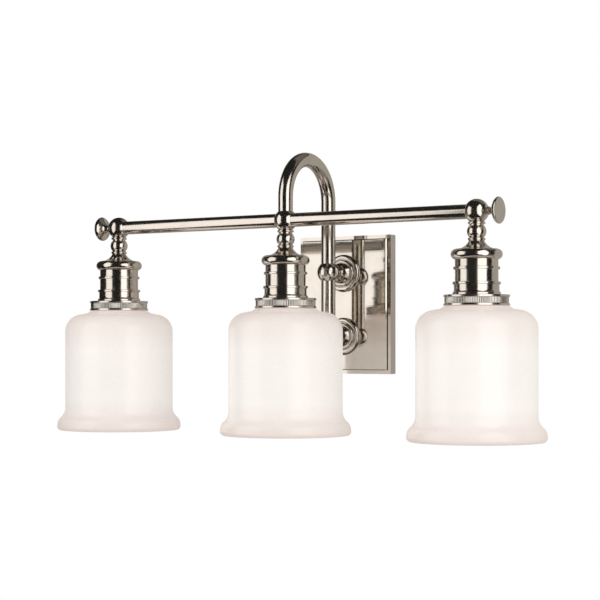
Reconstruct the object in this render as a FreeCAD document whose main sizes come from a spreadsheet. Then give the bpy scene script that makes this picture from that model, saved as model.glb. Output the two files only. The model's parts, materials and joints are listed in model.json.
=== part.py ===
import FreeCAD, Part
import os
import re
from math import pi, sin, tan

import Sketcher
from FreeCAD import Placement, Rotation, Vector

# Three-light vanity bar for a wall over a mirror. Millimetres.
# Origin: the middle of the mounting strap's back face, on the wall plane.
# +X runs along the lamp bar, +Y goes into the wall and +Z is up, so the whole fixture has y < 0.
# Heights on a lamp are written as drops, measured downwards from the axis of the lamp bar.

SIZES = {
    # general arrangement
    "lampPitch": (228.6, "centre to centre of neighbouring lamps, 9 in"),
    "barStandoff": (135, "wall to axis of the lamp bar"),
    "barHeight": (88.6, "axis of the lamp bar above the middle of the backplate"),
    "barRadius": (7.5, "lamp bar tube, outside"),
    "barWall": (1.2, "lamp bar tube, wall"),
    "ballRadius": (12.5, "junction balls"),
    "seatDepth": (8.2, "ball centre to the floor of a tube seat"),
    "seatGap": (0.05, "radial gap round a seated tube or screw"),
    "edgeBreak": (0.4, "corners taken off the turned rings"),
    "diagonal": (0.7071, "sine of 45 degrees, for the middle of a quarter round"),
    "passage": (4.9, "radius of the wiring passages in the balls"),
    # gooseneck and standoffs
    "gooseSpan": (88, "front leg axis to rear leg axis"),
    "gooseRadius": (7.95, "gooseneck tube, outside, 5/8 in"),
    "gooseWall": (1.5, "gooseneck tube, wall"),
    "archSpring": (25.1, "lamp bar axis to the springing of the arch"),
    "standoffPitch": (71.6, "between the two wall standoffs"),
    "nippleRadius": (4.85, "threaded nipples, outside"),
    "nippleBore": (3.3, "threaded nipples, bore radius"),
    "nippleTail": (8.3, "wall to the inner end of a standoff nipple"),
    "nippleLead": (4, "ball centre to the end of a nipple inside it"),
    "nutRadius": (8.2, "lock nuts, over the corners, radius"),
    "nutThickness": (3, "lock nuts"),
    # backplate
    "plateWidth": (119.6, "backplate, over the rim"),
    "plateTall": (156.6, "backplate, over the rim"),
    "plateSheet": (1.2, "backplate sheet"),
    "rimDepth": (11, "wall to the front of the rim"),
    "rimWidth": (4.2, "rim, seen from the front"),
    "fieldDepth": (13.5, "wall to the front of the raised field"),
    "fieldBevel": (1.1, "bevel round the raised field"),
    "plateCorner": (1, "outer corners of the rim"),
    # mounting strap and its screws
    "strapSheet": (2, "mounting strap sheet"),
    "strapArm": (24, "width of the strap's arms"),
    "strapReach": (106, "length of the cross arm"),
    "strapGap": (0.5, "strap ear to the inside of the backplate"),
    "earDepth": (9, "wall to the front of the strap's ears"),
    "boxPitch": (88.9, "outlet box screw slots, 3 1/2 in"),
    "slotWidth": (4.6, "outlet box screw slots"),
    "slotLength": (13, "outlet box screw slots, end to end"),
    "wireHole": (8, "radius of the wiring holes in the strap"),
    "screwDepth": (5.5, "wall to the axis of the backplate screws"),
    "screwRadius": (1.95, "backplate and ground screws"),
    "screwLength": (6.4, "backplate screws, which have no head"),
    "screwSunk": (0.15, "their ends below the plate's edge"),
    "hexRadius": (1.1, "their hex sockets, over the corners, radius"),
    "hexDepth": (1.8, "depth of the hex sockets"),
    "groundDrop": (18, "ground screw below the strap's middle"),
    "groundHead": (4.2, "ground screw head, over the corners, radius"),
    "groundHeight": (2.6, "ground screw head"),
    # rosettes
    "rosetteRadius": (21.35, "rosette base disc"),
    "rosetteBase": (4.2, "rosette base disc thickness"),
    "rosetteRound": (3.6, "round moulding at the edge of the base disc"),
    "stepRadius": (15.3, "rosette middle moulding"),
    "stepRound": (2.2, "round of that moulding"),
    "stepRise": (2, "crest of the middle moulding above the outer one"),
    "bossRadius": (11.5, "rosette inner step"),
    "bossRise": (1.4, "top of the inner step above the middle moulding"),
    "bossBreak": (0.6, "corner taken off the inner step"),
    "throatRadius": (6.1, "rosette neck"),
    "throatFlare": (9.6, "length of the rosette's hollow flare"),
    # turned neck under each ball
    "neckRadius": (7.15, "neck between its collars"),
    "collarRadius": (8.9, "neck collars"),
    "collarHalf": (1.4, "half the height of a collar"),
    "beadRadius": (9.8, "neck bead"),
    "beadHalf": (6.2, "half the height of the bead"),
    "collarDrop": (11.8, "upper collar"),
    "beadDrop": (20.3, "bead"),
    "lowCollarDrop": (28.1, "lower collar"),
    # socket cup
    "cupTop": (29.6, "top of the cup"),
    "cupFlare": (21.5, "cup radius at the foot of its hollow shoulder"),
    "flareDrop": (37.9, "foot of the hollow shoulder"),
    "torusRadius": (26, "cup's fat bead"),
    "torusDrop": (43, "middle of the fat bead"),
    "torusEnd": (48.4, "underside of the fat bead"),
    "cupRadius": (21.75, "cup barrel"),
    "bandRadius": (23.45, "upper band"),
    "bandDrop": (57.1, "upper band"),
    "bandHalf": (1.35, "half the height of a band"),
    "lowBandRadius": (24.15, "lower band"),
    "lowBandDrop": (72.2, "lower band"),
    "skirtRadius": (22.8, "cup below the lower band"),
    "footRadius": (24.25, "cup foot"),
    "footDrop": (81.8, "where the foot is widest"),
    "cupEnd": (83.9, "bottom of the cup"),
    "cupBore": (20.2, "inside of the cup"),
    "cupCeiling": (41.1, "ceiling inside the cup"),
    # knurled gallery under the cup
    "galleryRadius": (33.25, "gallery flanges"),
    "waistRadius": (32, "gallery waist"),
    "flangeHeight": (2.4, "gallery flanges"),
    "galleryEnd": (94.9, "bottom of the gallery"),
    "galleryBore": (30.8, "recess for the neck of the shade"),
    "galleryCeiling": (88.9, "ceiling of that recess"),
    # opal shade
    "glassWall": (3.2, "glass thickness"),
    "shadeTop": (89.9, "top of the shade's neck"),
    "shadeNeck": (30.1, "neck of the shade"),
    "ledgeHole": (21.5, "hole in the top ledge, radius"),
    "ledgeThick": (4, "top ledge"),
    "ledgePocket": (27.9, "inside of the neck below the ledge"),
    "coveRadius": (33.5, "where the glass leaves the gallery"),
    "coveDrop": (95.6, "where the glass leaves the gallery"),
    "coveFoot": (41, "radius at the foot of the cove"),
    "coveFootDrop": (98.4, "foot of the cove"),
    "shoulderDrop": (99.1, "top of the round shoulder"),
    "shoulderRadius": (19.5, "rounding of the shoulder"),
    "shadeRadius": (61.5, "barrel of the shade"),
    "belledDrop": (206.1, "where the barrel starts to flare"),
    "bellRadius": (67.4, "flare, above the lip"),
    "bellDrop": (217.6, "flare, above the lip"),
    "lipRadius": (70.5, "lip"),
    "lipDrop": (225.6, "where the lip is widest"),
    "shadeEnd": (231.3, "bottom of the shade"),
    # lamp socket, its ring and the bulb
    "ringRadius": (27, "socket ring, outside"),
    "ringBore": (19.38, "socket ring, bore radius"),
    "ringTop": (94.2, "top of the socket ring"),
    "ringHeight": (6, "socket ring"),
    "ringGrip": (2.2, "depth of the socket ring's finger notches"),
    "gasketHole": (22, "gasket, inner radius"),
    "gasketRadius": (29, "gasket, outer radius"),
    "socketRadius": (19.3, "socket barrel"),
    "socketTop": (46.6, "top of the socket"),
    "socketRoof": (64.6, "ceiling of the socket's wiring chamber"),
    "chamberRadius": (11, "socket's wiring chamber"),
    "chamberEnd": (73.1, "bottom of the wiring chamber"),
    "socketBore": (14.3, "seat for the screw shell"),
    "socketEnd": (105.6, "mouth of the socket"),
    "mouthFlare": (2.2, "how much wider the porcelain is at its mouth, radius"),
    "mouthDepth": (6, "depth of that flare"),
    "shellRadius": (14.1, "screw shell, outside"),
    "shellWall": (0.6, "screw shell sheet"),
    "shellEnd": (99.6, "mouth of the screw shell"),
    "contactRadius": (5, "centre contact"),
    "contactHole": (7.5, "hole for it in the shell's flange, radius"),
    "stemRadius": (2, "stem of the centre contact"),
    "stemRise": (3.5, "top of that stem above the bottom of the wiring chamber"),
    "nippleEnd": (52.1, "bottom of a lamp nipple"),
    "bulbTip": (77.1, "contact of the bulb"),
    "bulbBase": (13, "bulb cap, over the thread, radius"),
    "threadDepth": (1, "thread of the bulb cap"),
    "threadPitch": (3.6, "thread of the bulb cap, 7 turns to the inch"),
    "threadStart": (5.5, "bulb's contact to the first crest of its thread"),
    "bulbCollar": (102.1, "where the bulb's glass leaves its cap"),
    "bulbNeck": (14.2, "bulb glass at the cap"),
    "bulbRadius": (30, "globe of the bulb"),
    "bulbWidest": (140.6, "middle of the globe"),
    "bulbEnd": (170.6, "bottom of the bulb"),
    "bulbFlat": (1.5, "flat at the bottom of the bulb, radius"),
    "bulbWall": (0.9, "thickness of the bulb's glass"),
    "bulbSheet": (0.6, "thickness of the bulb's cap"),
    # finials
    "finialStud": (2.95, "finial stud and neck"),
    "finialRing": (4.3, "small ring beside the ball, radius"),
    "finialRingAt": (13.7, "ball centre to that ring"),
    "finialRingHalf": (0.8, "half the width of the ring"),
    "finialNeck": (15.2, "ball centre to the root of the flare"),
    "finialCurve": (19.2, "ball centre to the end of the flare's hollow"),
    "finialHollow": (6.4, "radius there"),
    "finialShoulder": (21.6, "ball centre to the start of the rounded edge"),
    "finialBroad": (10.9, "radius there"),
    "discRadius": (13.6, "finial disc"),
    "discBack": (24.4, "ball centre to the disc's edge"),
    "discFace": (26, "ball centre to the disc's face"),
    "discDish": (0.5, "depth of the dished face"),
    # leads
    "leadRadius": (0.8, "insulated lead"),
    "leadPitch": (1.9, "between neighbouring leads"),
    "leadBend": (5.5, "bend of a lead inside a ball"),
    "leadTurn": (3.5, "bend of a lead behind the backplate"),
    "leadReach": (30, "from the nipple's axis to a wire connector"),
    "leadDepth": (4.9, "wall to the middle lead behind the backplate"),
    "shellBend": (2, "bend of a white lead to the screw shell"),
    "groundSweep": (15, "furthest the ground lead swings out to the side"),
    "groundBend": (4, "bends of the ground lead"),
    "capRadius": (4.6, "wire connector"),
    "capLength": (21, "wire connector"),
}

LAMPS = {"left": "-lampPitch", "centre": "0", "right": "lampPitch"}
STANDOFFS = {"upper": "standoffPitch / 2", "lower": "-standoffPitch / 2"}
TURNS = {
    "up": Rotation(),
    "down": Rotation(Vector(1, 0, 0), 180),
    "right": Rotation(Vector(0, 1, 0), 90),
    "left": Rotation(Vector(0, 1, 0), -90),
    "front": Rotation(Vector(1, 0, 0), 90),
    "wall": Rotation(Vector(1, 0, 0), -90),
}

doc = FreeCAD.newDocument("vanity_bar")
sheet = doc.addObject("Spreadsheet::Sheet", "Dims")
for row, (alias, (size, note)) in enumerate(SIZES.items(), start=1):
    sheet.set(f"A{row}", alias)
    sheet.set(f"B{row}", str(size))
    sheet.set(f"C{row}", note)
    sheet.setAlias(f"B{row}", alias)
doc.recompute()
parts = {}


# ---- helpers: every size is an expression on the sheet ----

def on_sheet(expression):
    """The expression with each size's name pointing at the sheet."""
    return re.sub(r"[A-Za-z]\w*", lambda word: ("Dims." if word[0] in SIZES else "") + word[0], expression)


def value(expression):
    return float(sheet.evalExpression(on_sheet(expression)))


def point(*expressions):
    return Vector(*(value(expression) for expression in expressions))


def place(item, x="0", y="0", z="0", turn="up"):
    item.Placement = Placement(Vector(), TURNS[turn])
    for axis, expression in zip("xyz", (x, y, z)):
        item.setExpression(f"Placement.Base.{axis}", on_sheet(expression))
    return item


def keep(node, item):
    """Names a finished sub-part; the name is also its file's."""
    item.Label = node
    parts[node] = item
    return item


def new_body(node):
    return keep(node, doc.addObject("PartDesign::Body", "Body_" + node))


def new_sketch(body, title, plane):
    sketch = body.newObject("Sketcher::SketchObject", title)
    support = next(item for item in body.Origin.OriginFeatures if item.Role == plane)
    sketch.AttachmentSupport = [(support, "")]
    sketch.MapMode = "FlatFace"
    return sketch


def pin_point(sketch, geometry, vertex, x, y):
    """Ties a vertex to the sketch's origin by two distances from the sheet."""
    for kind, axis_line, expression in (("DistanceX", -2, x), ("DistanceY", -1, y)):
        size = value(expression)
        if abs(size) < 1e-9:
            sketch.addConstraint(Sketcher.Constraint("PointOnObject", geometry, vertex, axis_line))
            continue
        ends = (-1, 1, geometry, vertex) if size > 0 else (geometry, vertex, -1, 1)
        sign = "" if size > 0 else "-"
        index = sketch.addConstraint(Sketcher.Constraint(kind, *ends, abs(size)))
        sketch.setExpression(f"Constraints[{index}]", on_sheet(f"{sign}({expression})"))


def outline(sketch, corners, closed=True):
    """Draws edge after edge. A pair is a corner; with four values an arc runs through the last two."""
    count = len(corners)
    first_and_last = []
    for start, end in zip(corners, corners[1:] + corners[:1] * closed):
        tail, head = point(*start[:2]), point(*end[:2])
        middle = end[2:]
        edge = Part.Arc(tail, point(*middle), head) if middle else Part.LineSegment(tail, head)
        geometry = sketch.addGeometry(edge)
        flipped = sketch.getPoint(geometry, 1).distanceToPoint(tail) > 1e-6
        first_and_last.append((geometry, 2, 1) if flipped else (geometry, 1, 2))
        pin_point(sketch, geometry, first_and_last[-1][1], *start[:2])
        if middle:
            mark = sketch.addGeometry(Part.Point(point(*middle)), True)
            pin_point(sketch, mark, 1, *middle)
            sketch.addConstraint(Sketcher.Constraint("PointOnObject", mark, 1, geometry))
    for index, (geometry, _, last) in enumerate(first_and_last):
        if index + 1 < count - (not closed):
            follower, first, _ = first_and_last[(index + 1) % count]
            sketch.addConstraint(Sketcher.Constraint("Coincident", geometry, last, follower, first))
        elif closed:
            follower, first, _ = first_and_last[0]
            sketch.addConstraint(Sketcher.Constraint("Coincident", geometry, last, follower, first))
        else:
            pin_point(sketch, geometry, last, *corners[-1][:2])
    return sketch


def circles(sketch, rounds):
    """Draws circles, each given as centre x, centre y and radius."""
    for x, y, radius in rounds:
        geometry = sketch.addGeometry(Part.Circle(point(x, y), Vector(0, 0, 1), value(radius)))
        pin_point(sketch, geometry, 3, x, y)
        index = sketch.addConstraint(Sketcher.Constraint("Radius", geometry, value(radius)))
        sketch.setExpression(f"Constraints[{index}]", on_sheet(radius))
    return sketch


def rectangle(sketch, width, tall, middle="0"):
    """Draws an upright rectangle, centred across the sketch, whose middle is at the height given."""
    left, right = f"-({width}) / 2", f"({width}) / 2"
    low, high = f"{middle} - ({tall}) / 2", f"{middle} + ({tall}) / 2"
    return outline(sketch, [(left, low), (right, low), (right, high), (left, high)])


def pad(body, sketch, length):
    feature = body.newObject("PartDesign::Pad", "Pad")
    feature.Profile = sketch
    feature.setExpression("Length", on_sheet(length))
    return feature


def pocket(body, sketch, depth=None, both_ways=False):
    """Cuts towards the sketch's own front; with no depth it goes right through."""
    feature = body.newObject("PartDesign::Pocket", "Pocket")
    feature.Profile = sketch
    feature.Reversed = True
    if depth:
        feature.setExpression("Length", on_sheet(depth))
    else:
        feature.Type = "ThroughAll"
        feature.Midplane = both_ways
    return feature


def dress(body, kind, base, chosen, size):
    """Fillets or chamfers the edges of the base that the test picks."""
    doc.recompute()
    names = [f"Edge{n}" for n, edge in enumerate(base.Shape.Edges, start=1) if chosen(edge)]
    feature = body.newObject("PartDesign::" + kind, kind)
    feature.Base = (base, names)
    feature.setExpression("Radius" if kind == "Fillet" else "Size", on_sheet(size))
    return feature


def turned(node, section):
    """A piece turned on a lathe: the section's points are radius and height along the axis."""
    body = new_body(node)
    sketch = outline(new_sketch(body, "Section", "XZ_Plane"), section)
    feature = body.newObject("PartDesign::Revolution", "Turning")
    feature.Profile = sketch
    feature.ReferenceAxis = (sketch, ["V_Axis"])
    feature.Angle = 360
    return body


def hung(node, side, section):
    """A turned piece on a lamp's axis: the section's points are radius and drop below the bar's axis."""
    heights = []
    for corner in section:
        heights.append(tuple(f"-({term})" if n % 2 else term for n, term in enumerate(corner)))
    return place(turned(node, heights), LAMPS[side], "-barStandoff", "barHeight")


def cylinder(radius, length, x="0", y="0", z="0", turn="up"):
    item = doc.addObject("Part::Cylinder", "Cylinder")
    item.setExpression("Radius", on_sheet(radius))
    item.setExpression("Height", on_sheet(length))
    return place(item, x, y, z, turn)


def hex_prism(corner_radius, length, x="0", y="0", z="0", turn="up"):
    item = doc.addObject("Part::Prism", "Hexagon")
    item.Polygon = 6
    item.setExpression("Circumradius", on_sheet(corner_radius))
    item.setExpression("Height", on_sheet(length))
    return place(item, x, y, z, turn)


def cut(base, tool):
    item = doc.addObject("Part::Cut", "Cut")
    item.Base, item.Tool = base, tool
    return item


def fuse(items):
    item = doc.addObject("Part::MultiFuse", "Fusion")
    item.Shapes = items
    return item


def group(node, items):
    """Identical small pieces that share one node, as separate solids."""
    item = doc.addObject("Part::Compound", "Group_" + node)
    item.Links = items
    return keep(node, item)


def ridge(root, crest, drop, half):
    """A rounded ring round a piece, from its upper corner to its lower one."""
    return [(root, f"{drop} - {half}"), (root, f"{drop} + {half}", crest, drop)]


def band(root, crest, drop, half):
    """A square ring with its corners taken off, from its upper corner to its lower one."""
    soft = f"{crest} - edgeBreak"
    return [
        (root, f"{drop} - {half}"),
        (soft, f"{drop} - {half}"),
        (crest, f"{drop} - {half} + edgeBreak"),
        (crest, f"{drop} + {half} - edgeBreak"),
        (soft, f"{drop} + {half}"),
        (root, f"{drop} + {half}")]


def roll(outer, crest, size):
    """Round moulding: a quarter round up to its crest, then a little way down on the inside."""
    inner_end = f"{outer} - 1.6 * {size}"
    corner = f"{size} * (1 - diagonal)"
    return [
        (outer, f"{crest} - {size}"),
        (inner_end, f"{crest} - 0.2 * {size}", f"{outer} - {corner}", f"{crest} - {corner}")]


# ---- wall side: backplate, strap, screws ----

def backplate():
    """Drawn steel tray, open to the wall: a flat rim round a raised, bevelled field."""
    body = new_body("backplate")
    pad(body, rectangle(new_sketch(body, "Rim", "XZ_Plane"), "plateWidth", "plateTall"), "rimDepth")
    field_width, field_tall = "plateWidth - 2 * rimWidth", "plateTall - 2 * rimWidth"
    field = rectangle(new_sketch(body, "Field", "XZ_Plane"), field_width, field_tall)
    raised = pad(body, field, "fieldDepth")
    front = -value("fieldDepth")
    half = value("plateWidth / 2")

    def on_front(edge):
        return all(abs(corner.Point.y - front) < 1e-6 for corner in edge.Vertexes)

    def on_corner(edge):
        first, last = (corner.Point for corner in edge.Vertexes)
        at_side = all(abs(abs(end.x) - half) < 1e-6 for end in (first, last))
        return at_side and abs(first.y - last.y) > 1

    bevel = dress(body, "Chamfer", raised, on_front, "fieldBevel")
    dress(body, "Fillet", bevel, on_corner, "plateCorner")
    for title, width, tall, depth in (
            ("RimHollow", "plateWidth", "plateTall", "rimDepth"),
            ("FieldHollow", field_width, field_tall, "fieldDepth")):
        hollow = new_sketch(body, title, "XZ_Plane")
        rectangle(hollow, f"{width} - 2 * plateSheet", f"{tall} - 2 * plateSheet")
        pocket(body, hollow, f"{depth} - plateSheet")
    holes = [("0", height, "nippleRadius + seatGap") for height in STANDOFFS.values()]
    pocket(body, circles(new_sketch(body, "NippleHoles", "XZ_Plane"), holes))
    screw_holes = new_sketch(body, "ScrewHoles", "XY_Plane")
    pocket(body, circles(screw_holes, [("0", "-screwDepth", "screwRadius + seatGap")]), both_ways=True)


def mounting_strap():
    """Cross-shaped steel strap that screws to the outlet box and carries the backplate by its two ears."""
    body = new_body("mounting_strap")
    arm, reach, top = "strapArm / 2", "strapReach / 2", "(plateTall / 2 - plateSheet - strapGap)"
    cross = new_sketch(body, "Cross", "XZ_Plane")
    outline(cross, [
        (f"-{arm}", f"-{top}"), (arm, f"-{top}"), (arm, f"-{arm}"), (reach, f"-{arm}"),
        (reach, arm), (arm, arm), (arm, top), (f"-{arm}", top),
        (f"-{arm}", arm), (f"-{reach}", arm), (f"-{reach}", f"-{arm}"), (f"-{arm}", f"-{arm}")])
    pad(body, cross, "strapSheet")
    for title, sign in (("UpperEar", ""), ("LowerEar", "-")):
        ear = new_sketch(body, title, "XZ_Plane")
        rectangle(ear, "strapArm", "strapSheet", f"{sign}({top} - strapSheet / 2)")
        pad(body, ear, "earDepth")
    slots = new_sketch(body, "BoxSlots", "XZ_Plane")
    run, half = "(slotLength - slotWidth) / 2", "slotWidth / 2"
    for sign in ("-", ""):
        middle = f"{sign}boxPitch / 2"
        left, right = f"{middle} - {run}", f"{middle} + {run}"
        outline(slots, [
            (left, f"-{half}", f"{left} - {half}", "0"), (right, f"-{half}"),
            (right, half, f"{right} + {half}", "0"), (left, half)])
    pocket(body, slots)
    holes = [("0", height, "wireHole") for height in STANDOFFS.values()]
    holes.append(("0", "-groundDrop", "screwRadius + seatGap"))
    pocket(body, circles(new_sketch(body, "WireHoles", "XZ_Plane"), holes))
    screw_holes = new_sketch(body, "ScrewHoles", "XY_Plane")
    pocket(body, circles(screw_holes, [("0", "-screwDepth", "screwRadius + seatGap")]), both_ways=True)


def backplate_screws():
    """Two set screws, flush in the top and bottom edges of the backplate, into the strap's ears."""
    screws = []
    for turn, sign in (("up", ""), ("down", "-")):
        end = "plateTall / 2 - screwSunk"
        shank = cylinder("screwRadius", "screwLength", "0", "-screwDepth", f"{sign}({end} - screwLength)", turn)
        hex_socket = hex_prism("hexRadius", "2 * hexDepth", "0", "-screwDepth", f"{sign}({end} - hexDepth)", turn)
        screws.append(cut(shank, hex_socket))
    group("backplate_screws", screws)


def ground_screw():
    """Hex-head screw in the strap; its shank ends flush with the strap's back."""
    shank = cylinder("screwRadius", "strapSheet + 2 * leadRadius", "0", "0", "-groundDrop", "front")
    seat = "-strapSheet - 2 * leadRadius"
    head = hex_prism("groundHead", "groundHeight", "0", seat, "-groundDrop", "front")
    keep("ground_screw", fuse([shank, head]))


def lock_nut(x, y, z, turn):
    blank = hex_prism("nutRadius", "nutThickness", x, y, z, turn)
    return cut(blank, cylinder("nippleRadius + seatGap", "nutThickness", x, y, z, turn))


def threaded_nipple(length, x, y, z, turn):
    """Hollow threaded tube, with its start at the place given."""
    rod = cylinder("nippleRadius", length, x, y, z, turn)
    return cut(rod, cylinder("nippleBore", length, x, y, z, turn))


def standoff_hardware():
    """The nipple in each standoff, from inside its ball to behind the backplate, and its nut."""
    nipples, nuts = [], []
    length = "barStandoff - gooseSpan - nippleLead - nippleTail"
    for height in STANDOFFS.values():
        nipples.append(threaded_nipple(length, "0", "-nippleTail", height, "front"))
        nuts.append(lock_nut("0", "-(fieldDepth - plateSheet - nutThickness)", height, "front"))
    group("standoff_nipples", nipples)
    group("standoff_nuts", nuts)


def rosette(level):
    """Moulded round rosette on the backplate, with a hollow flare down to its neck in the ball."""
    base = "(fieldDepth + rosetteBase)"
    step = f"({base} + stepRise)"
    boss = f"({step} + bossRise)"
    flare_end = f"({boss} + throatFlare)"
    tip = "barStandoff - gooseSpan - seatDepth"
    body = turned("rosette_" + level, [
        ("nippleRadius + seatGap", "fieldDepth"),
        ("rosetteRadius", "fieldDepth")]
        + roll("rosetteRadius", base, "rosetteRound")
        + roll("stepRadius", step, "stepRound")
        + [("bossRadius", step),
           ("bossRadius", f"{boss} - bossBreak"),
           ("bossRadius - bossBreak", boss),
           ("throatRadius", flare_end, "throatRadius + throatFlare * 0.161", f"{boss} + throatFlare * 0.4"),
           ("throatRadius", tip),
           ("nippleRadius + seatGap", tip)])
    place(body, "0", "0", STANDOFFS[level], "front")


# ---- balls and tubes ----

def drilled_ball(node, seats, x, y, z):
    """Solid ball with a flat-bottomed seat for each piece that enters it and wiring passages between."""
    ball = doc.addObject("Part::Sphere", "Sphere")
    ball.setExpression("Radius", on_sheet("ballRadius"))
    drills = []
    for turn, radius, wired in seats:
        start = TURNS[turn].multVec(Vector(0, 0, 1))
        terms = [f"{round(term)} * seatDepth" for term in start]
        drills.append(cylinder(radius, "ballRadius", *terms, turn))
        if wired:
            drills.append(cylinder("passage", "ballRadius", turn=turn))
    keep(node, place(cut(ball, fuse(drills)), x, y, z))


def balls():
    bar, goose = "barRadius + seatGap", "gooseRadius + seatGap"
    neck, throat, stud = "neckRadius + seatGap", "throatRadius + seatGap", "finialStud + seatGap"
    rear = "-(barStandoff - gooseSpan)"
    hub_seats = [("left", bar, True), ("right", bar, True), ("up", goose, True), ("down", neck, True)]
    drilled_ball("centre_hub", hub_seats, "0", "-barStandoff", "barHeight")
    for side, inward in (("left", "right"), ("right", "left")):
        seats = [(inward, bar, True), (side, stud, False), ("down", neck, True)]
        drilled_ball("end_ball_" + side, seats, LAMPS[side], "-barStandoff", "barHeight")
    upper_seats = [("up", goose, True), ("down", goose, True), ("wall", throat, True)]
    drilled_ball("standoff_ball_upper", upper_seats, "0", rear, STANDOFFS["upper"])
    lower_seats = [("up", goose, True), ("wall", throat, True)]
    drilled_ball("standoff_ball_lower", lower_seats, "0", rear, STANDOFFS["lower"])


def straight_tube(node, radius, wall, length, x, y, z, turn):
    body = new_body(node)
    rounds = [("0", "0", radius), ("0", "0", f"{radius} - {wall}")]
    pad(body, circles(new_sketch(body, "Ring", "XY_Plane"), rounds), length)
    place(body, x, y, z, turn)


def tubes():
    """The two halves of the lamp bar and the rear leg between the standoff balls."""
    for side in ("left", "right"):
        start = "seatDepth" if side == "right" else "-seatDepth"
        straight_tube("bar_" + side, "barRadius", "barWall", "lampPitch - 2 * seatDepth",
                      start, "-barStandoff", "barHeight", side)
    straight_tube("rear_leg", "gooseRadius", "gooseWall", "standoffPitch - 2 * seatDepth",
                  "0", "-(barStandoff - gooseSpan)", "-standoffPitch / 2 + seatDepth", "up")


def gooseneck():
    """Bent tube: up from the upper standoff ball, over in a half circle and down into the centre hub."""
    body = new_body("gooseneck")
    rounds = [("0", "0", "gooseRadius"), ("0", "0", "gooseRadius - gooseWall")]
    ring = circles(new_sketch(body, "Ring", "XY_Plane"), rounds)
    front_end = "barHeight - standoffPitch / 2"
    spring = f"{front_end} + archSpring - seatDepth"
    path = new_sketch(body, "Path", "YZ_Plane")
    outline(path, [
        ("0", "0"), ("0", spring),
        ("-gooseSpan", spring, "-gooseSpan / 2", f"{spring} + gooseSpan / 2"),
        ("-gooseSpan", front_end)], closed=False)
    pipe = body.newObject("PartDesign::AdditivePipe", "Bend")
    pipe.Profile = ring
    pipe.Spine = (path, ["Edge1", "Edge2", "Edge3"])
    place(body, "0", "-(barStandoff - gooseSpan)", "standoffPitch / 2 + seatDepth")


def finial(side):
    """Turned end finial: a thin neck that opens like a trumpet to a disc with a rounded edge."""
    edge = "(discFace - discBack)"
    body = turned("finial_" + side, [
        ("0", "seatDepth"), ("finialStud", "seatDepth")]
        + ridge("finialStud", "finialRing", "finialRingAt", "finialRingHalf")
        + [("finialStud", "finialNeck"),
           ("finialHollow", "finialCurve", "finialStud + 1.2", "finialNeck + 1.9"),
           ("finialBroad", "finialShoulder"),
           ("discRadius", "discBack", "discRadius - 0.75", "(finialShoulder + discBack) / 2 + 0.2"),
           (f"discRadius - {edge}", "discFace",
            f"discRadius - {edge} * (1 - diagonal)", f"discBack + {edge} * diagonal"),
           (f"discRadius - {edge} - 1", "discFace"),
           ("0", "discFace - discDish")])
    place(body, LAMPS[side], "-barStandoff", "barHeight", side)


# ---- one lamp ----

def neck(side):
    bore = "nippleRadius + seatGap"
    hung("neck_" + side, side, [(bore, "seatDepth"), ("neckRadius", "seatDepth")]
         + ridge("neckRadius", "collarRadius", "collarDrop", "collarHalf")
         + ridge("neckRadius", "beadRadius", "beadDrop", "beadHalf")
         + ridge("neckRadius", "collarRadius", "lowCollarDrop", "collarHalf")
         + [("neckRadius", "cupTop"), (bore, "cupTop")])


def socket_cup(side):
    """Cast cup round the socket: hollow shoulder, fat bead, banded barrel and a flared foot."""
    hung("socket_cup_" + side, side, [
        ("nippleRadius + seatGap", "cupTop"),
        ("neckRadius + 0.6", "cupTop"),
        ("cupFlare", "flareDrop", "neckRadius + 5", "cupTop + 5.4"),
        ("cupRadius", "torusEnd", "torusRadius", "torusDrop")]
        + band("cupRadius", "bandRadius", "bandDrop", "bandHalf")
        + band("cupRadius", "lowBandRadius", "lowBandDrop", "bandHalf")[:-1]
        + [("skirtRadius", "lowBandDrop + bandHalf"),
           ("skirtRadius", "footDrop - 3.2"),
           ("footRadius", "footDrop", "skirtRadius + 0.35", "footDrop - 1.3"),
           ("footRadius", "cupEnd"),
           ("cupBore", "cupEnd"),
           ("cupBore", "cupCeiling + 3"),
           ("cupBore - 3", "cupCeiling", "cupBore - 3 * (1 - diagonal)", "cupCeiling + 3 * (1 - diagonal)"),
           ("nippleRadius + seatGap", "cupCeiling")])


def gallery(side):
    """Spool-shaped ring under the cup; its recess takes the gasket and the neck of the shade."""
    hung("gallery_" + side, side, [
        ("cupBore", "cupEnd"),
        ("galleryRadius - edgeBreak", "cupEnd"),
        ("galleryRadius", "cupEnd + edgeBreak"),
        ("galleryRadius", "cupEnd + flangeHeight - 0.3"),
        ("waistRadius", "cupEnd + flangeHeight"),
        ("waistRadius", "galleryEnd - flangeHeight"),
        ("galleryRadius", "galleryEnd - flangeHeight + 0.3"),
        ("galleryRadius", "galleryEnd - edgeBreak"),
        ("galleryRadius - edgeBreak", "galleryEnd"),
        ("galleryBore", "galleryEnd"),
        ("galleryBore", "galleryCeiling"),
        ("cupBore", "galleryCeiling")])


def shade_gasket(side):
    low, high = "shadeTop - 0.1", "galleryCeiling + 0.1"
    hung("shade_gasket_" + side, side, [
        ("gasketHole", high), ("gasketRadius", high), ("gasketRadius", low), ("gasketHole", low)])


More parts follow.
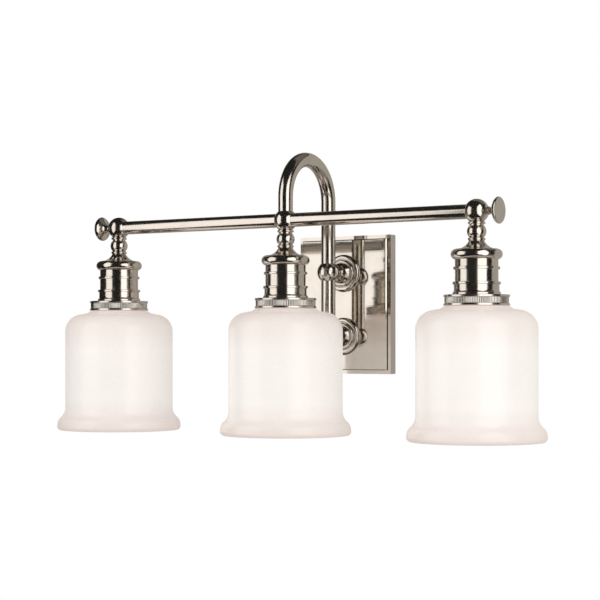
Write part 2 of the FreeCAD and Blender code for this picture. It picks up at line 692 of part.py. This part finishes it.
def shade(side):
    """Opal glass: ledged neck, small cove, round shoulder, straight barrel and a belled lip."""
    centre_radius, centre_drop = "(shadeRadius - shoulderRadius)", "(shoulderDrop + shoulderRadius)"
    inner_round = "(shoulderRadius - glassWall)"
    ceiling = f"({centre_drop} - {inner_round})"
    inside = "(shadeRadius - glassWall)"
    hung("shade_" + side, side, [
        ("ledgeHole", "shadeTop"),
        ("shadeNeck", "shadeTop"),
        ("shadeNeck", "galleryEnd + 0.5"),
        ("coveRadius", "coveDrop"),
        ("coveFoot", "coveFootDrop", "coveRadius + 2.6", "coveDrop + 1.9"),
        (centre_radius, "shoulderDrop"),
        ("shadeRadius", centre_drop,
         f"{centre_radius} + shoulderRadius * diagonal", f"{centre_drop} - shoulderRadius * diagonal"),
        ("shadeRadius", "belledDrop"),
        ("bellRadius", "bellDrop", "shadeRadius + 1.7", "belledDrop + 6.6"),
        ("lipRadius", "lipDrop", "lipRadius - 0.75", "lipDrop - 4.2"),
        ("lipRadius - 2.6", "shadeEnd", "lipRadius - 0.6", "lipDrop + 4"),
        ("lipRadius - 5", "shadeEnd - 2.4", "lipRadius - 4.3", "shadeEnd - 0.6"),
        ("bellRadius - glassWall - 0.3", "bellDrop + 1", "lipRadius - 4.9", "lipDrop - 2.6"),
        (inside, "belledDrop + 1", "shadeRadius + 1.7 - glassWall", "belledDrop + 7.2"),
        (inside, centre_drop),
        (centre_radius, ceiling,
         f"{centre_radius} + {inner_round} * diagonal", f"{centre_drop} - {inner_round} * diagonal"),
        ("coveFoot - 4", f"{ceiling} - 0.3"),
        ("ledgePocket", "galleryEnd + 2"),
        ("ledgePocket", "shadeTop + ledgeThick"),
        ("ledgeHole", "shadeTop + ledgeThick")])


def socket_ring(side):
    """Threaded ring that screws up the socket and holds the shade; its edge is notched for the fingers."""
    body = hung("socket_ring_" + side, side, [
        ("ringBore", "ringTop"), ("ringRadius", "ringTop"),
        ("ringRadius", "ringTop + ringHeight"), ("ringBore", "ringTop + ringHeight")])
    notch = new_sketch(body, "Notch", "XY_Plane")
    circles(notch, [("ringRadius + ringGrip", "0", "2 * ringGrip")])
    groove = pocket(body, notch, both_ways=True)
    doc.recompute()
    pattern = body.newObject("PartDesign::PolarPattern", "Notches")
    pattern.Originals = [groove]
    pattern.Axis = (notch, ["N_Axis"])
    pattern.Angle = 360
    pattern.Occurrences = 12
    body.Tip = pattern


def socket_body(side):
    """Glazed porcelain socket, screwed on the nipple; the ring runs on its outside."""
    hung("socket_body_" + side, side, [
        ("nippleRadius + seatGap", "socketTop"),
        ("socketRadius - 1.5", "socketTop"),
        ("socketRadius", "socketTop + 1.5"),
        ("socketRadius", "socketEnd - 0.6"),
        ("socketRadius - 0.6", "socketEnd"),
        ("socketBore + mouthFlare", "socketEnd"),
        ("socketBore", "socketEnd - mouthDepth"),
        ("socketBore", "chamberEnd"),
        ("chamberRadius", "chamberEnd"),
        ("chamberRadius", "socketRoof"),
        ("nippleRadius + seatGap", "socketRoof")])


def screw_shell(side):
    """Rolled brass shell for the bulb's cap, with a flange at the top that sits in the socket."""
    inner = "shellRadius - shellWall"
    hung("screw_shell_" + side, side, [
        ("contactHole", "chamberEnd"),
        ("shellRadius", "chamberEnd"),
        ("shellRadius", "shellEnd"),
        (inner, "shellEnd"),
        (inner, "chamberEnd + shellWall"),
        ("contactHole", "chamberEnd + shellWall")])


def centre_contact(side):
    """Sprung brass contact that meets the bulb's tip, on a stem up into the wiring chamber."""
    hung("centre_contact_" + side, side, [
        ("0", "chamberEnd - stemRise"),
        ("stemRadius", "chamberEnd - stemRise"),
        ("stemRadius", "chamberEnd + 1.6"),
        ("contactRadius", "chamberEnd + 1.6"),
        ("contactRadius", "chamberEnd + 2.4"),
        ("1", "bulbTip - 0.3", "contactRadius * 0.6", "chamberEnd + 3.3"),
        ("0", "bulbTip - 0.3")])


def bulb(side):
    """Screw-cap lamp: its threaded cap, and a thin glass globe on a short neck."""
    root = "(bulbBase - threadDepth)"
    bore = f"({root} - bulbSheet)"
    thread = []
    for turn in range(5):
        crest = f"bulbTip + threadStart + {turn} * threadPitch"
        thread.append((root, f"{crest} - threadPitch / 2"))
        thread.append(("bulbBase", crest))
    hung("bulb_cap_" + side, side, [
        ("0", "bulbTip"), ("4", "bulbTip + 0.8", "2.4", "bulbTip + 0.2"), ("10", "bulbTip + 3.2")]
        + thread
        + [(root, "bulbCollar - 4.4"), ("bulbNeck - 0.6", "bulbCollar"), ("bulbNeck - 1.2", "bulbCollar"),
           (bore, "bulbCollar - 4"), (bore, "bulbTip + threadStart"), ("0", "bulbTip + threadStart")])
    neck_end, throat, throat_drop = "bulbCollar", "bulbNeck + 1.8", "bulbCollar + 9.4"
    slope, inner = "(bulbRadius * diagonal)", "(bulbRadius - bulbWall)"
    inner_slope = f"({inner} * diagonal)"
    hung("bulb_glass_" + side, side, [
        ("bulbNeck", neck_end),
        (slope, f"bulbWidest - {slope}", throat, throat_drop),
        ("bulbFlat", "bulbEnd", "bulbRadius", "bulbWidest"),
        ("0", "bulbEnd"),
        ("0", "bulbEnd - bulbWall"),
        ("bulbFlat", "bulbEnd - bulbWall"),
        (inner_slope, f"bulbWidest - {inner_slope}", inner, "bulbWidest"),
        ("bulbNeck - bulbWall", neck_end, f"{throat} - bulbWall", throat_drop)])


def lamp_hardware():
    """The nipple through each neck and the nut that clamps the cup to it."""
    nipples, nuts = [], []
    for x in LAMPS.values():
        at = (x, "-barStandoff")
        nipples.append(threaded_nipple("nippleEnd - nippleLead", *at, "barHeight - nippleEnd", "up"))
        nuts.append(lock_nut(*at, "barHeight - cupCeiling - nutThickness", "up"))
    group("lamp_nipples", nipples)
    group("lamp_nuts", nuts)


# ---- wiring ----

def rounded_path(corners, radii):
    """Straight runs joined by tangent arcs, one radius for each inner corner."""
    edges, tail = [], corners[0]
    for before, corner, after, radius in zip(corners, corners[1:], corners[2:], radii):
        arrive, leave = (corner - before).normalize(), (after - corner).normalize()
        half_turn = arrive.getAngle(leave) / 2
        reach = radius * tan(half_turn)
        inward = (leave - arrive).normalize()
        sagitta = reach / sin(half_turn) - radius
        first, last = corner - arrive * reach, corner + leave * reach
        if first.distanceToPoint(tail) > 1e-6:
            edges.append(Part.LineSegment(tail, first).toShape())
        edges.append(Part.Arc(first, corner + inward * sagitta, last).toShape())
        tail = last
    if tail.distanceToPoint(corners[-1]) > 1e-6:
        edges.append(Part.LineSegment(tail, corners[-1]).toShape())
    return Part.Wire(edges)


def lead_solid(corners, radii):
    """Round insulated lead along a path; its volume is compared with section times length."""
    path = rounded_path(corners, radii)
    heading = path.Edges[0].tangentAt(path.Edges[0].FirstParameter)
    ring = Part.Wire([Part.Circle(corners[0], heading, value("leadRadius")).toShape()])
    solid = path.makePipeShell([ring], True, True)
    expected = path.Length * ring.Length ** 2 / (4 * pi)
    if abs(solid.Volume / expected - 1) > 0.01:
        raise RuntimeError("a lead's volume is wrong")
    return solid


def lead_set(node, lane):
    """One colour of lead for the three sockets: from its connector, over the gooseneck, to each socket.

    The lane is +1 for the outer side of the gooseneck's bend, which ends on the centre contacts,
    and -1 for the inner side, which ends on the screw shells.
    """
    pitch, standoff, high = value("leadPitch"), value("barStandoff"), value("barHeight")
    shift = lane * pitch / 2
    rear, front = -standoff + value("gooseSpan") + shift, -standoff - shift
    arch_top = high + value("archSpring") + value("gooseSpan") / 2 + shift
    arch_bend = value("gooseSpan") / 2 + shift
    exit_height = value("standoffPitch") / 2 + shift
    ball_bend = value("leadBend")
    lead_end = high - value("chamberEnd - stemRise" if lane > 0 else "chamberEnd - 2 * stemRise")
    flange = high - value("chamberEnd - leadRadius * 1.2")
    flange_reach = value("(contactHole + chamberRadius) / 2")
    solids = []
    for column, x in zip((-1, 0, 1), (value(term) for term in LAMPS.values())):
        across = column * pitch
        depth = -value("leadDepth") - column * lane * pitch
        corners = [
            Vector(-lane * value("leadReach"), depth, exit_height),
            Vector(across, depth, exit_height),
            Vector(across, rear, exit_height),
            Vector(across, rear, arch_top),
            Vector(across, front, arch_top)]
        radii = [value("leadTurn"), ball_bend, arch_bend, arch_bend]
        if column:
            corners += [Vector(across, front, high), Vector(x, front, high)]
            radii += [ball_bend, ball_bend]
        corners.append(Vector(x, front, lead_end))
        if lane < 0:
            corners.append(Vector(x, flange_reach - standoff, flange))
            radii.append(value("shellBend"))
        solids.append(lead_solid(corners, radii))
    bundle = doc.addObject("Part::Feature", "Leads_" + node)
    bundle.Shape = Part.makeCompound(solids)
    keep(node, bundle)


def ground_lead():
    """Green lead from under the ground screw's head to the lower lock nut."""
    depth = -value("strapSheet + leadRadius")
    screw, nut, sweep = value("-groundDrop"), value("-standoffPitch / 2"), value("groundSweep")
    corners = [
        Vector(0, depth, screw - value("screwRadius + leadRadius")),
        Vector(0.75 * sweep, depth, screw - value("groundBend")),
        Vector(sweep, depth - 3, nut - 1),
        Vector(value("nutRadius + leadRadius / 2"), value("-fieldDepth + plateSheet + nutThickness / 2"), nut)]
    bundle = doc.addObject("Part::Feature", "Leads_ground")
    bundle.Shape = lead_solid(corners, [value("groundBend")] * 2)
    keep("ground_lead", bundle)


def wire_connectors():
    """Two twist-on connectors lying behind the backplate, their mouths towards the nipple."""
    caps = []
    for side, sign in (("left", "-"), ("right", "")):
        cap = doc.addObject("Part::Cone", "Cone")
        cap.setExpression("Radius1", on_sheet("capRadius"))
        cap.setExpression("Radius2", on_sheet("capRadius - 1.7"))
        cap.setExpression("Height", on_sheet("capLength"))
        depth = "-strapSheet - capRadius - 0.2"
        caps.append(place(cap, f"{sign}leadReach", depth, "standoffPitch / 2", side))
    group("wire_connectors", caps)


def build():
    backplate()
    mounting_strap()
    backplate_screws()
    ground_screw()
    standoff_hardware()
    for level in STANDOFFS:
        rosette(level)
    balls()
    tubes()
    gooseneck()
    for side in ("left", "right"):
        finial(side)
    lamp_hardware()
    for side in LAMPS:
        for make in (neck, socket_cup, gallery, shade_gasket, shade, socket_ring,
                     socket_body, screw_shell, centre_contact, bulb):
            make(side)
    lead_set("leads_black", 1)
    lead_set("leads_white", -1)
    ground_lead()
    wire_connectors()
    doc.recompute()


def export():
    for item in doc.Objects:
        if "Invalid" in item.State or "Error" in item.State:
            raise RuntimeError(f"{item.Label}: {item.State}")
    for node, item in parts.items():
        if item.Shape.isNull() or not item.Shape.isValid() or not item.Shape.Solids:
            raise RuntimeError(f"{node}: bad shape")
    os.makedirs("parts", exist_ok=True)
    for node, item in parts.items():
        item.Shape.exportStep(f"parts/{node}.step")
        print(node, len(item.Shape.Solids), round(item.Shape.Volume, 1))


build()
export()
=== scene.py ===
import json
from math import cos, pi, radians, sin

import bmesh
import bpy
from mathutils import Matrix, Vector


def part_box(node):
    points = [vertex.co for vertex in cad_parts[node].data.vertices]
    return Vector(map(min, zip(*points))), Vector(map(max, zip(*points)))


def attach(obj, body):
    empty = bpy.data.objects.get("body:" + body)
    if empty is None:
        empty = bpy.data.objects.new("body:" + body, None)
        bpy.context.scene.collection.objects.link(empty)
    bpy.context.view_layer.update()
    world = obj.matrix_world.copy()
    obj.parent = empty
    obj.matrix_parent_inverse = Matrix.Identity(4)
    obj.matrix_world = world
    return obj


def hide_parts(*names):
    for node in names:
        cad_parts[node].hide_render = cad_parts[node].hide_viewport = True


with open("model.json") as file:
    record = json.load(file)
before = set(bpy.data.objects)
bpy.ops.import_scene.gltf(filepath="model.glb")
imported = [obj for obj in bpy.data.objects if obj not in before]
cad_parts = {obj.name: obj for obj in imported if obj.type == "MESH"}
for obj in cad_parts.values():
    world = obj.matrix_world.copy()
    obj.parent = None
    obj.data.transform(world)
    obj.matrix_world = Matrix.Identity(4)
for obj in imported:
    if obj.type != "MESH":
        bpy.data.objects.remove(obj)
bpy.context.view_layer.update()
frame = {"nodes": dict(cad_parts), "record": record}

# Three-light vanity bar: polished nickel, opal glass. Metres, in the row frame: +X along the lamp bar,
# +Y into the wall, +Z up, origin in the middle of the mounting strap's back face.

LAMPS = ("left", "centre", "right")
LAMP_ROW = (0, -0.135, 0)

# Glass: how far the painted shade, a dimmer and pinker painted glow, reaches from the lip up and from the top
# down.
LIP_PAINTED_SHADE = 0.035
SHOULDER_PAINTED_SHADE = 0.05

# Gallery ring: its flutes, and the sizes of its section.
FLUTES = 110
STEPS_A_FLUTE = 6
FLUTE_DEPTH = 0.00045
FLANGE = 0.0024
FLANGE_REACH = 0.00095
FLANGE_SLOPE = 0.0003
CORNER = 0.0004
CUP_BORE = 0.0202
GLASS_RECESS = 0.0308
RECESS_DEPTH = 0.006
SHARP_ANGLE = radians(40)

# Studio: the walls' place, the height range of the softboxes, and the side that the daylight is weak on.
FLOOR_HEIGHT = -0.62
FLOOR_RADIUS = 1.5
FLOOR_CORNERS = 96
WALL_Y = 0.75
WALL_LOW, WALL_HIGH = -1.0, 0.85
BOX_LOW, BOX_HIGH = -0.29, 0.65
LIGHT_WIDE, LIGHT_TALL = 0.68, 0.94
DIM_SIDE = (-0.45, 0.9, 0)


# ---- material helpers ----

class Shader:
    """A new material with its principled shader, and short ways to add and join nodes."""

    def __init__(self, name):
        self.material = bpy.data.materials.new(name)
        self.material.use_nodes = True
        self.tree = self.material.node_tree
        self.principled = self.tree.nodes["Principled BSDF"]
        self.where = self.add("ShaderNodeTexCoord").outputs["Object"]

    def add(self, kind, **settings):
        """A new node with these properties."""
        node = self.tree.nodes.new(kind)
        for key, setting in settings.items():
            setattr(node, key, setting)
        return node

    def join(self, source, target):
        self.tree.links.new(source, target)

    def feed(self, socket, source):
        """Puts a number, a colour or another node's output on a socket."""
        if isinstance(source, bpy.types.NodeSocket):
            self.join(source, socket)
        else:
            socket.default_value = source

    def set(self, **values):
        """Sets sockets of the principled shader to plain values."""
        for name, setting in values.items():
            self.principled.inputs[name.replace("_", " ")].default_value = setting

    def stretched(self, scale):
        """Object coordinates multiplied by a scale for each axis."""
        mapping = self.add("ShaderNodeMapping")
        mapping.inputs["Scale"].default_value = scale
        self.join(self.where, mapping.inputs["Vector"])
        return mapping.outputs["Vector"]

    def noise(self, scale, detail=2.0, stretch=None, rough=0.5):
        node = self.add("ShaderNodeTexNoise")
        node.inputs["Scale"].default_value = scale
        node.inputs["Detail"].default_value = detail
        node.inputs["Roughness"].default_value = rough
        self.join(self.stretched(stretch) if stretch else self.where, node.inputs["Vector"])
        return node.outputs["Fac"]

    def spread(self, source, low, high, start=0.3, end=0.7):
        """Maps the range from start to end onto low to high."""
        node = self.add("ShaderNodeMapRange")
        self.join(source, node.inputs["Value"])
        for name, setting in (("From Min", start), ("From Max", end), ("To Min", low), ("To Max", high)):
            node.inputs[name].default_value = setting
        return node.outputs["Result"]

    def blend(self, factor, first, second):
        node = self.add("ShaderNodeMix", data_type="RGBA")
        self.feed(node.inputs[0], factor)
        self.feed(node.inputs[6], first)
        self.feed(node.inputs[7], second)
        return node.outputs[2]

    def maths(self, operation, first, second=0.0):
        node = self.add("ShaderNodeMath", operation=operation)
        self.feed(node.inputs[0], first)
        self.feed(node.inputs[1], second)
        return node.outputs[0]

    def axes(self):
        """The object coordinates apart: across, towards the wall, up."""
        node = self.add("ShaderNodeSeparateXYZ")
        self.join(self.where, node.inputs[0])
        return node.outputs

    def bump(self, height, strength, distance, under=None):
        """Bumps the surface by a height, on top of another bump if one is given."""
        node = self.add("ShaderNodeBump")
        node.inputs["Strength"].default_value = strength
        node.inputs["Distance"].default_value = distance
        self.join(height, node.inputs["Height"])
        if under is not None:
            self.join(under, node.inputs["Normal"])
        self.join(node.outputs["Normal"], self.principled.inputs["Normal"])
        return node.outputs["Normal"]

    def colour(self, source):
        self.feed(self.principled.inputs["Base Color"], source)

    def roughness(self, source):
        self.feed(self.principled.inputs["Roughness"], source)


def nickel(name, shade, rough):
    """Warm nickel plate: cloudy tone, faint wipe marks in the polish and a little orange peel."""
    look = Shader(name)
    look.set(Metallic=1.0)
    cloud = look.noise(45, 3)
    paler = tuple(min(1.0, 1.05 * part) for part in shade) + (1,)
    darker = tuple(0.95 * part for part in shade) + (1,)
    look.colour(look.blend(look.spread(cloud, 0, 1), darker, paler))
    wipes = look.noise(120, 3, stretch=(0.35, 1, 1))
    look.roughness(look.spread(wipes, rough * 0.85, rough * 1.2))
    peel = look.noise(350, 1)
    look.bump(peel, 0.04, 0.00003)
    return look


def polished_nickel():
    return nickel("polished_nickel", (0.73, 0.675, 0.61), 0.15).material


def plate_nickel():
    """The backplate: brushed along its width, and very slightly crowned, as drawn sheet is."""
    look = nickel("plate_nickel", (0.73, 0.68, 0.62), 0.07)
    across, _, up = look.axes()
    lower = look.maths("ADD", up, 0.05)
    across_squared = look.maths("MULTIPLY", across, across)
    crown = look.maths("ADD", across_squared, look.maths("MULTIPLY", lower, lower))
    bend = look.bump(look.maths("MULTIPLY", crown, -0.25), 1.0, 1.0)
    brush = look.noise(1.0, 2, stretch=(25, 300, 520))
    look.bump(brush, 0.3, 0.00006, under=bend)
    return look.material


def opal_glass():
    """Opal glass with a soft warm painted glow in its emission, as if lit from inside, and painted shade: the
    glow dimmer and pinker at the shoulder and towards the lip.
    """
    look = Shader("opal_glass")
    # The emission here is a painted glow: the glass itself gives out light.
    look.set(IOR=1.5, Emission_Strength=1.0)
    low, high = (corner[2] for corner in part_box("shade_centre"))
    cloud = look.spread(look.noise(14, 3), 0, 1)
    look.colour(look.blend(cloud, (0.50, 0.475, 0.455, 1), (0.53, 0.505, 0.485, 1)))
    # Painted shade: the painted glow turns dimmer and pinker over the shoulder and towards the lip.
    height = look.axes()[2]
    above_lip = look.spread(height, 1, 0, start=low, end=low + LIP_PAINTED_SHADE)
    under_top = look.spread(height, 0, 1, start=high - SHOULDER_PAINTED_SHADE, end=high)
    painted_shade_mask = look.maths("MAXIMUM", above_lip, under_top)
    painted_glow_colour = look.blend(painted_shade_mask, (0.43, 0.41, 0.39, 1), (0.31, 0.245, 0.215, 1))
    look.feed(look.principled.inputs["Emission Color"], painted_glow_colour)
    look.roughness(look.spread(look.noise(60, 2), 0.25, 0.33))
    look.bump(look.noise(18, 1), 0.15, 0.0006)
    return look.material


def plain(name, first, second, rough, grain=120, bump=0.1, depth=0.0002, metal=0.0):
    """A finish between two close colours, with a fine grain."""
    look = Shader(name)
    look.set(Metallic=metal)
    cloud = look.noise(grain, 3)
    look.colour(look.blend(look.spread(cloud, 0, 1), first + (1,), second + (1,)))
    look.roughness(look.spread(look.noise(grain * 2.5, 3), rough * 0.85, rough * 1.2))
    look.bump(look.noise(grain * 8, 3), bump, depth)
    return look.material


def bulb_frosted():
    """The frosted glass of a lit bulb."""
    look = Shader("bulb_frosted")
    look.colour((0.95, 0.94, 0.92, 1))
    look.roughness(look.spread(look.noise(200, 3), 0.45, 0.6))
    look.bump(look.noise(3000, 2), 0.1, 0.0001)
    look.principled.inputs["Emission Color"].default_value = (1.0, 0.95, 0.88, 1)
    look.principled.inputs["Emission Strength"].default_value = 1.0
    return look.material


MATERIALS = {
    "polished_nickel": polished_nickel(),
    "plate_nickel": plate_nickel(),
    "knurled_nickel": nickel("knurled_nickel", (0.74, 0.70, 0.65), 0.2).material,
    "opal_glass": opal_glass(),
    "zinc_steel": plain("zinc_steel", (0.52, 0.53, 0.53), (0.62, 0.63, 0.62), 0.32, metal=1.0),
    "green_screw": plain("green_screw", (0.03, 0.20, 0.06), (0.04, 0.27, 0.08), 0.4),
    "porcelain": plain("porcelain", (0.84, 0.82, 0.76), (0.88, 0.86, 0.81), 0.15),
    "shell_brass": plain("shell_brass", (0.72, 0.52, 0.22), (0.80, 0.60, 0.28), 0.28, metal=1.0),
    "ring_plastic": plain("ring_plastic", (0.78, 0.77, 0.71), (0.83, 0.82, 0.77), 0.35),
    "gasket_rubber": plain("gasket_rubber", (0.72, 0.71, 0.67), (0.78, 0.77, 0.73), 0.7),
    "cap_aluminium": plain("cap_aluminium", (0.70, 0.70, 0.71), (0.78, 0.78, 0.79), 0.3, metal=1.0),
    "bulb_frosted": bulb_frosted(),
    "lead_black": plain("lead_black", (0.012, 0.012, 0.012), (0.02, 0.02, 0.02), 0.45),
    "lead_white": plain("lead_white", (0.75, 0.75, 0.72), (0.80, 0.80, 0.78), 0.45),
    "lead_green": plain("lead_green", (0.02, 0.20, 0.05), (0.03, 0.25, 0.07), 0.45),
    "connector_plastic": plain("connector_plastic", (0.75, 0.20, 0.03), (0.82, 0.25, 0.04), 0.4),
}


# ---- CAD nodes ----

for entry in frame["record"]["subparts"]:
    node = frame["nodes"][entry["node"]]
    slot = entry["material_slot"]
    node.data.materials.clear()
    node.data.materials.append(MATERIALS["plate_nickel" if entry["node"] == "backplate" else slot])


# ---- new pieces ----

def add_object(name, data):
    item = bpy.data.objects.new(name, data)
    bpy.context.scene.collection.objects.link(item)
    return item


def knurled_gallery(side):
    """The spool-shaped ring under a cup, with fine upright flutes rolled into its waist."""
    node = "gallery_" + side
    low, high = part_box(node)
    centre_x, centre_y = (low[0] + high[0]) / 2, (low[1] + high[1]) / 2
    top, bottom, rim = high[2], low[2], (high[0] - low[0]) / 2
    waist, ceiling = rim - FLANGE_REACH, bottom + RECESS_DEPTH
    over = [
        (CUP_BORE, ceiling), (CUP_BORE, top), (rim - CORNER, top), (rim, top - CORNER),
        (rim, top - FLANGE + FLANGE_SLOPE), (waist - FLUTE_DEPTH, top - FLANGE)]
    fluted = [(waist, top - FLANGE - FLANGE_SLOPE), (waist, bottom + FLANGE + FLANGE_SLOPE)]
    under = [
        (waist - FLUTE_DEPTH, bottom + FLANGE), (rim, bottom + FLANGE - FLANGE_SLOPE), (rim, bottom + CORNER),
        (rim - CORNER, bottom), (GLASS_RECESS, bottom), (GLASS_RECESS, ceiling)]
    steps = FLUTES * STEPS_A_FLUTE
    shape = bmesh.new()
    rings = []
    for profile, depth in ((over, 0.0), (fluted, FLUTE_DEPTH), (under, 0.0)):
        for radius, height in profile:
            ring = []
            for step in range(steps):
                angle = 2 * pi * step / steps
                reach = radius - depth * (1 - abs(sin(angle * FLUTES / 2)))
                place = (centre_x + reach * cos(angle), centre_y + reach * sin(angle), height)
                ring.append(shape.verts.new(place))
            rings.append(ring)
    for upper, lower in zip(rings, rings[1:] + rings[:1]):
        for step, corner_vertex in enumerate(upper):
            shape.faces.new((corner_vertex, upper[step - 1], lower[step - 1], lower[step]))
    bmesh.ops.recalc_face_normals(shape, faces=shape.faces)
    for face in shape.faces:
        face.smooth = True
    mesh = bpy.data.meshes.new("knurled_" + node)
    shape.to_mesh(mesh)
    shape.free()
    mesh.set_sharp_from_angle(angle=SHARP_ANGLE)
    mesh.materials.append(MATERIALS["knurled_nickel"])
    item = add_object("knurled_" + node, mesh)
    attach(item, "root")
    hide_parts(node)


for lamp in LAMPS:
    knurled_gallery(lamp)


# ---- studio ----

def seen_by(item, camera=False, diffuse=False, glossy=False, transmission=False, shadow=False):
    """Says which kinds of ray meet a stage object."""
    item.visible_camera = camera
    item.visible_diffuse = diffuse
    item.visible_glossy = glossy
    item.visible_transmission = transmission
    item.visible_volume_scatter = False
    item.visible_shadow = shadow


def glow(name, colour, strength):
    """A plain glowing material, for the surroundings."""
    material = bpy.data.materials.new(name)
    material.use_nodes = True
    tree = material.node_tree
    tree.nodes.clear()
    emission = tree.nodes.new("ShaderNodeEmission")
    emission.inputs["Color"].default_value = colour + (1,)
    emission.inputs["Strength"].default_value = strength
    output = tree.nodes.new("ShaderNodeOutputMaterial")
    tree.links.new(emission.outputs[0], output.inputs[0])
    material.cycles.emission_sampling = "NONE"
    return material


def studio_mesh(name, corners, faces, material):
    mesh = bpy.data.meshes.new(name)
    mesh.from_pydata(corners, [], faces)
    mesh.materials.append(material)
    return add_object(name, mesh)


def card(name, first, second, low, high, colour, strength):
    """An upright card between two places on the floor plan, seen only in reflections."""
    corners = [(*first, low), (*second, low), (*second, high), (*first, high)]
    seen_by(studio_mesh(name, corners, [(0, 1, 2, 3)], glow(name, colour, strength)), glossy=True)


def flat_card(name, x_range, y_range, height, colour, strength):
    """A level card, seen only in reflections."""
    corners = [(x_range[0], y_range[0], height), (x_range[1], y_range[0], height),
               (x_range[1], y_range[1], height), (x_range[0], y_range[1], height)]
    seen_by(studio_mesh(name, corners, [(0, 1, 2, 3)], glow(name, colour, strength)), glossy=True)


def ball(name, radius, material):
    """A sphere round the whole studio."""
    shape = bmesh.new()
    bmesh.ops.create_uvsphere(shape, u_segments=48, v_segments=24, radius=radius)
    mesh = bpy.data.meshes.new(name)
    shape.to_mesh(mesh)
    shape.free()
    mesh.materials.append(material)
    return add_object(name, mesh)


def disc_floor():
    turns = [2 * pi * corner / FLOOR_CORNERS for corner in range(FLOOR_CORNERS)]
    rim = [(FLOOR_RADIUS * cos(turn), FLOOR_RADIUS * sin(turn), FLOOR_HEIGHT) for turn in turns]
    paint = plain("floor", (0.86, 0.85, 0.84), (0.89, 0.88, 0.87), 0.8)
    item = studio_mesh("floor", rim, [tuple(range(FLOOR_CORNERS))], paint)
    seen_by(item, camera=True, diffuse=True, shadow=True)


def area_light(name, place, power):
    """A soft light aimed at the row of lamps. It lights surfaces, and isn't seen in reflections."""
    data = bpy.data.lights.new(name, "AREA")
    data.shape = "RECTANGLE"
    data.size = LIGHT_WIDE
    data.size_y = LIGHT_TALL
    data.energy = power
    item = add_object(name, data)
    item.location = place
    item.rotation_euler = (Vector(LAMP_ROW) - Vector(place)).to_track_quat("-Z", "Y").to_euler()
    item.visible_camera = False
    item.visible_glossy = False


def surroundings():
    """A white background for the camera, and dim surroundings with cards for the metal to mirror."""
    seen_by(ball("white_surround", 6.0, glow("white_surround", (1, 1, 1), 1.0)), camera=True)
    seen_by(ball("dark_surround", 4.0, glow("dark_surround", (1, 0.95, 0.9), 0.02)), glossy=True)
    disc_floor()
    card("left_softbox", (-0.287, -1.092), (-0.531, -0.453), BOX_LOW, BOX_HIGH, (1.0, 0.975, 0.95), 1.25)
    card("right_softbox", (0.70, -0.89), (0.56, -0.20), BOX_LOW, BOX_HIGH, (1.0, 0.985, 0.97), 1.6)
    card("wall_right", (0.0, WALL_Y), (2.2, WALL_Y), WALL_LOW, WALL_HIGH, (0.435, 0.41, 0.375), 1.0)
    card("wall_left", (-2.2, WALL_Y), (0.0, WALL_Y), WALL_LOW, WALL_HIGH, (0.36, 0.335, 0.305), 1.0)
    flat_card("low_card", (-2, 2), (-0.12, WALL_Y), -0.9, (0.25, 0.23, 0.21), 1.0)
    flat_card("high_card", (-0.25, 0.9), (0.05, WALL_Y), 0.95, (0.17, 0.155, 0.14), 1.0)


def daylight():
    """A soft light from all round, weaker from the wall's side, which only the diffuse surfaces take."""
    world = bpy.data.worlds.new("studio")
    world.use_nodes = True
    tree = world.node_tree
    background = tree.nodes["Background"]
    background.inputs["Color"].default_value = (1, 0.985, 0.97, 1)
    away = tree.nodes.new("ShaderNodeVectorMath")
    away.operation = "DOT_PRODUCT"
    away.inputs[1].default_value = DIM_SIDE
    tree.links.new(tree.nodes.new("ShaderNodeTexCoord").outputs["Generated"], away.inputs[0])
    front = tree.nodes.new("ShaderNodeMapRange")
    for name, setting in (("From Min", -0.3), ("From Max", 0.9), ("To Min", 0.95), ("To Max", 0.2)):
        front.inputs[name].default_value = setting
    tree.links.new(away.outputs["Value"], front.inputs["Value"])
    tree.links.new(front.outputs[0], background.inputs["Strength"])
    world.cycles_visibility.glossy = False
    world.cycles_visibility.camera = False
    bpy.context.scene.world = world


def camera():
    """The photograph's viewpoint: level with the lamps, in front of them and to the right."""
    data = bpy.data.cameras.new("camera")
    data.sensor_width = 36
    data.lens = 100.26
    data.shift_x = 0.0101
    data.shift_y = 0.0754
    data.clip_end = 50
    item = add_object("camera", data)
    item.location = (0.9812, -1.6438, -0.0459)
    item.rotation_euler = (radians(90), 0, radians(32.75))
    bpy.context.scene.camera = item


surroundings()
area_light("left_light", (-0.55, -0.95, 0.2), 0.8)
area_light("right_light", (0.95, -0.75, 0.2), 2.6)
daylight()
bpy.context.scene.view_settings.view_transform = "Standard"
camera()
